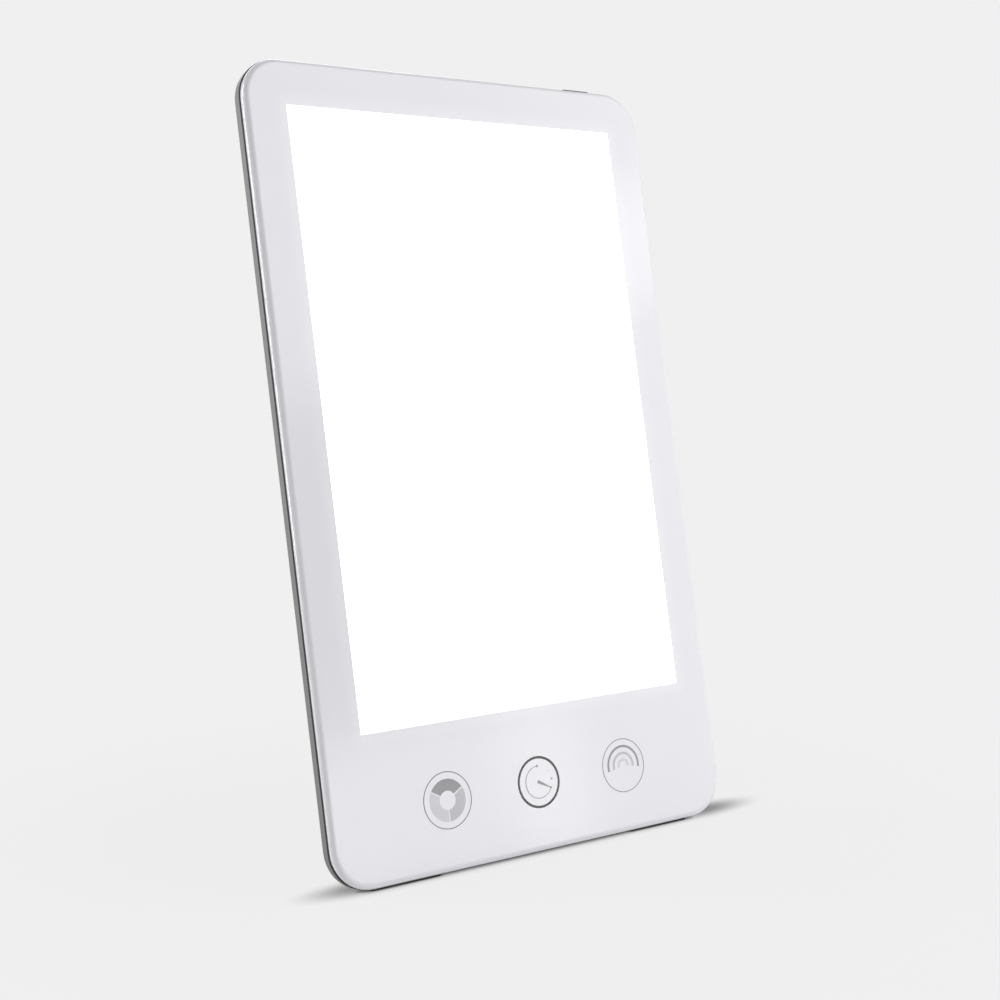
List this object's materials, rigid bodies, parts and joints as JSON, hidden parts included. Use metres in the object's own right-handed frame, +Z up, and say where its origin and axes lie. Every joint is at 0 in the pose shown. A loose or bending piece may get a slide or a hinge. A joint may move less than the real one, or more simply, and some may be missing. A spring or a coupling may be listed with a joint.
{
  "type": "light therapy lamp",
  "caption": "Slim tablet-style light therapy panel with a wide lit window, touch controls, a top push button and a fold-out leg, leaning back on its stand.",
  "frame": {"origin": "on the floor, under the middle of the leaning lamp's box", "axes": "+Z up, the lit front faces -Y, +X to the right as seen from behind the front face looking along +Y"},
  "size_m": [0.1826, 0.078, 0.2963],
  "materials": {
    "white_shell": "glossy white with a faint lavender cast",
    "opal": "opal, lit from the edges",
    "white_film": "matt white film",
    "clear_acrylic": "clear, polished",
    "grey_shell": "warm mid grey, fine moulded texture",
    "dark_seam": "matt black foam",
    "rubber_foot": "matt dark rubber",
    "aluminium": "rolled sheet",
    "board_white": "metal-core board with white solder mask",
    "led_yellow": "phosphor window",
    "board_green": "green solder mask",
    "black_plastic": "matt black",
    "steel": "zinc plated",
    "carbon_foam": "conductive foam",
    "ribbon": "flat flexible cable",
    "ferrite": "ferrite drum",
    "can": "sleeved can",
    "nylon": "natural nylon",
    "brass": "plated contact pin"
  },
  "bodies": {
    "panel": {"front_bezel": "white_shell", "edge_gasket": "dark_seam", "diffuser_plate": "opal", "diffusion_film": "white_film", "light_guide_plate": "clear_acrylic", "reflector_film": "white_film", "led_strip_left": "board_white", "led_strip_right": "board_white", "led_chips_left": "led_yellow", "led_chips_right": "led_yellow", "chassis_plate": "aluminium", "chassis_screws": "steel", "control_board": "board_green", "control_components": "black_plastic", "touch_pads": "carbon_foam", "control_board_screws": "steel", "ribbon_cable": "ribbon", "power_switch": "black_plastic", "switch_board": "board_green", "switch_board_screws": "steel", "back_cover": "grey_shell", "cover_screws": "steel", "bottom_feet": "rubber_foot", "rear_housing": "grey_shell", "housing_screws": "steel", "driver_board": "board_green", "driver_board_screws": "steel", "driver_inductor": "ferrite", "driver_capacitors": "can", "driver_chips": "black_plastic", "driver_connectors": "nylon", "dc_inlet": "black_plastic", "dc_inlet_pin": "brass", "hinge_pin": "steel", "hinge_clip": "steel", "hinge_washers": "nylon"},
    "stand": {"stand_leg": "grey_shell", "stand_foot_pad": "rubber_foot"},
    "button": {"power_button": "black_plastic", "switch_plunger": "black_plastic"}
  },
  "joints": [
    {"name": "stand_fold", "type": "hinge", "parent": "panel", "child": "stand", "pos_m": [0, 0.00346, 0.13822], "axis": [-1, 0, 0], "range_deg": [0, 20]},
    {"name": "button_press", "type": "slide", "parent": "panel", "child": "button", "axis": [0, -0.2079, -0.9781], "range_m": [0, 0.0006], "stiffness_N_per_m": 1500, "springref_m": -0.0005}
  ]
}
